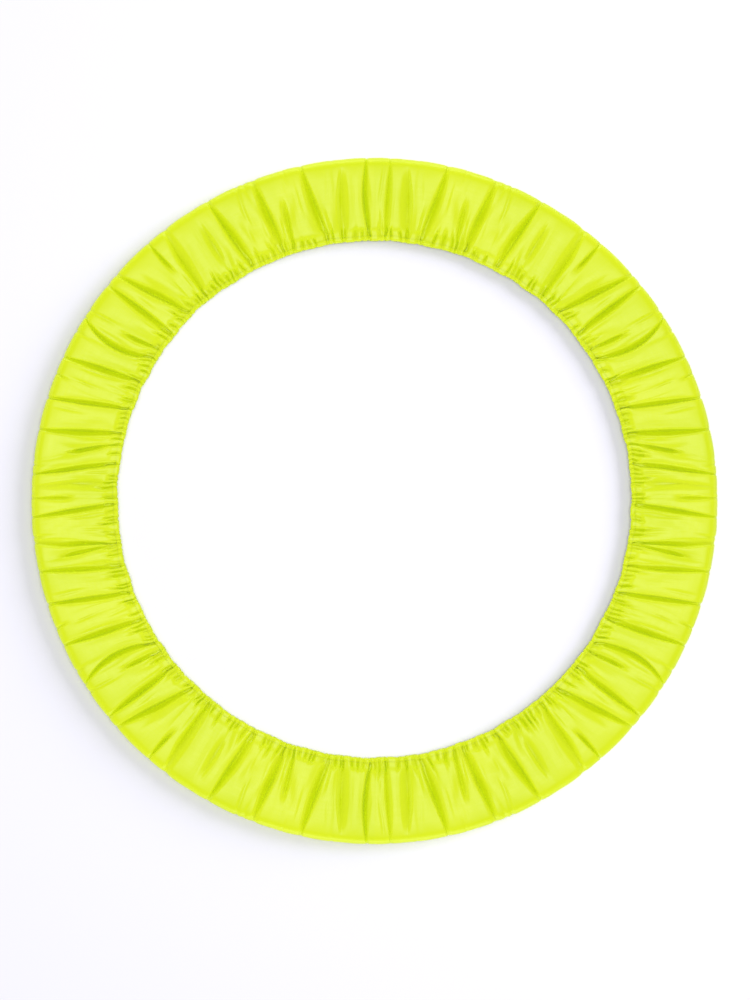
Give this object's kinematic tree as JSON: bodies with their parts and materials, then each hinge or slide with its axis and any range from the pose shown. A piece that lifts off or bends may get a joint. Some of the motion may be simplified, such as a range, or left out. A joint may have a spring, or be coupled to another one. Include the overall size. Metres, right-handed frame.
{
  "type": "rhythmic hoop in cover",
  "caption": "Rhythmic gymnastics hoop inside a gathered fabric ring cover with elastic hems along its inner edge.",
  "frame": {"origin": "centre of the ring, on the face that the cover rests on", "axes": "+Z along the ring's axis towards the front, +Y towards the seam at the top of the cover"},
  "size_m": [0.903, 0.903, 0.0207],
  "materials": {
    "cover_cloth": "fluorescent yellow-green nylon taffeta, smooth and slightly shiny",
    "thread": "yellow-green polyester sewing thread",
    "elastic": "white braided elastic",
    "tube_plastic": "white extruded plastic, satin",
    "plug_plastic": "grey moulded plastic",
    "pin_metal": "plain steel",
    "tape": "dark adhesive tape, satin"
  },
  "bodies": {
    "cover": {"left_strip": "cover_cloth", "right_strip": "cover_cloth", "top_seam_thread": "thread", "bottom_seam_thread": "thread", "front_elastic": "elastic", "front_elastic_tack": "thread", "front_hem_thread": "thread", "back_elastic": "elastic", "back_elastic_tack": "thread", "back_hem_thread": "thread"},
    "hoop": {"hoop_tube": "tube_plastic", "joint_plug": "plug_plastic", "joint_pins": "pin_metal", "joint_tape": "tape"}
  },
  "joints": [
    {"name": "hoop_turn", "type": "hinge", "parent": "cover", "child": "hoop", "pos_m": [0, 0, 0.01025], "axis": [0, 0, 1], "continuous": true}
  ]
}
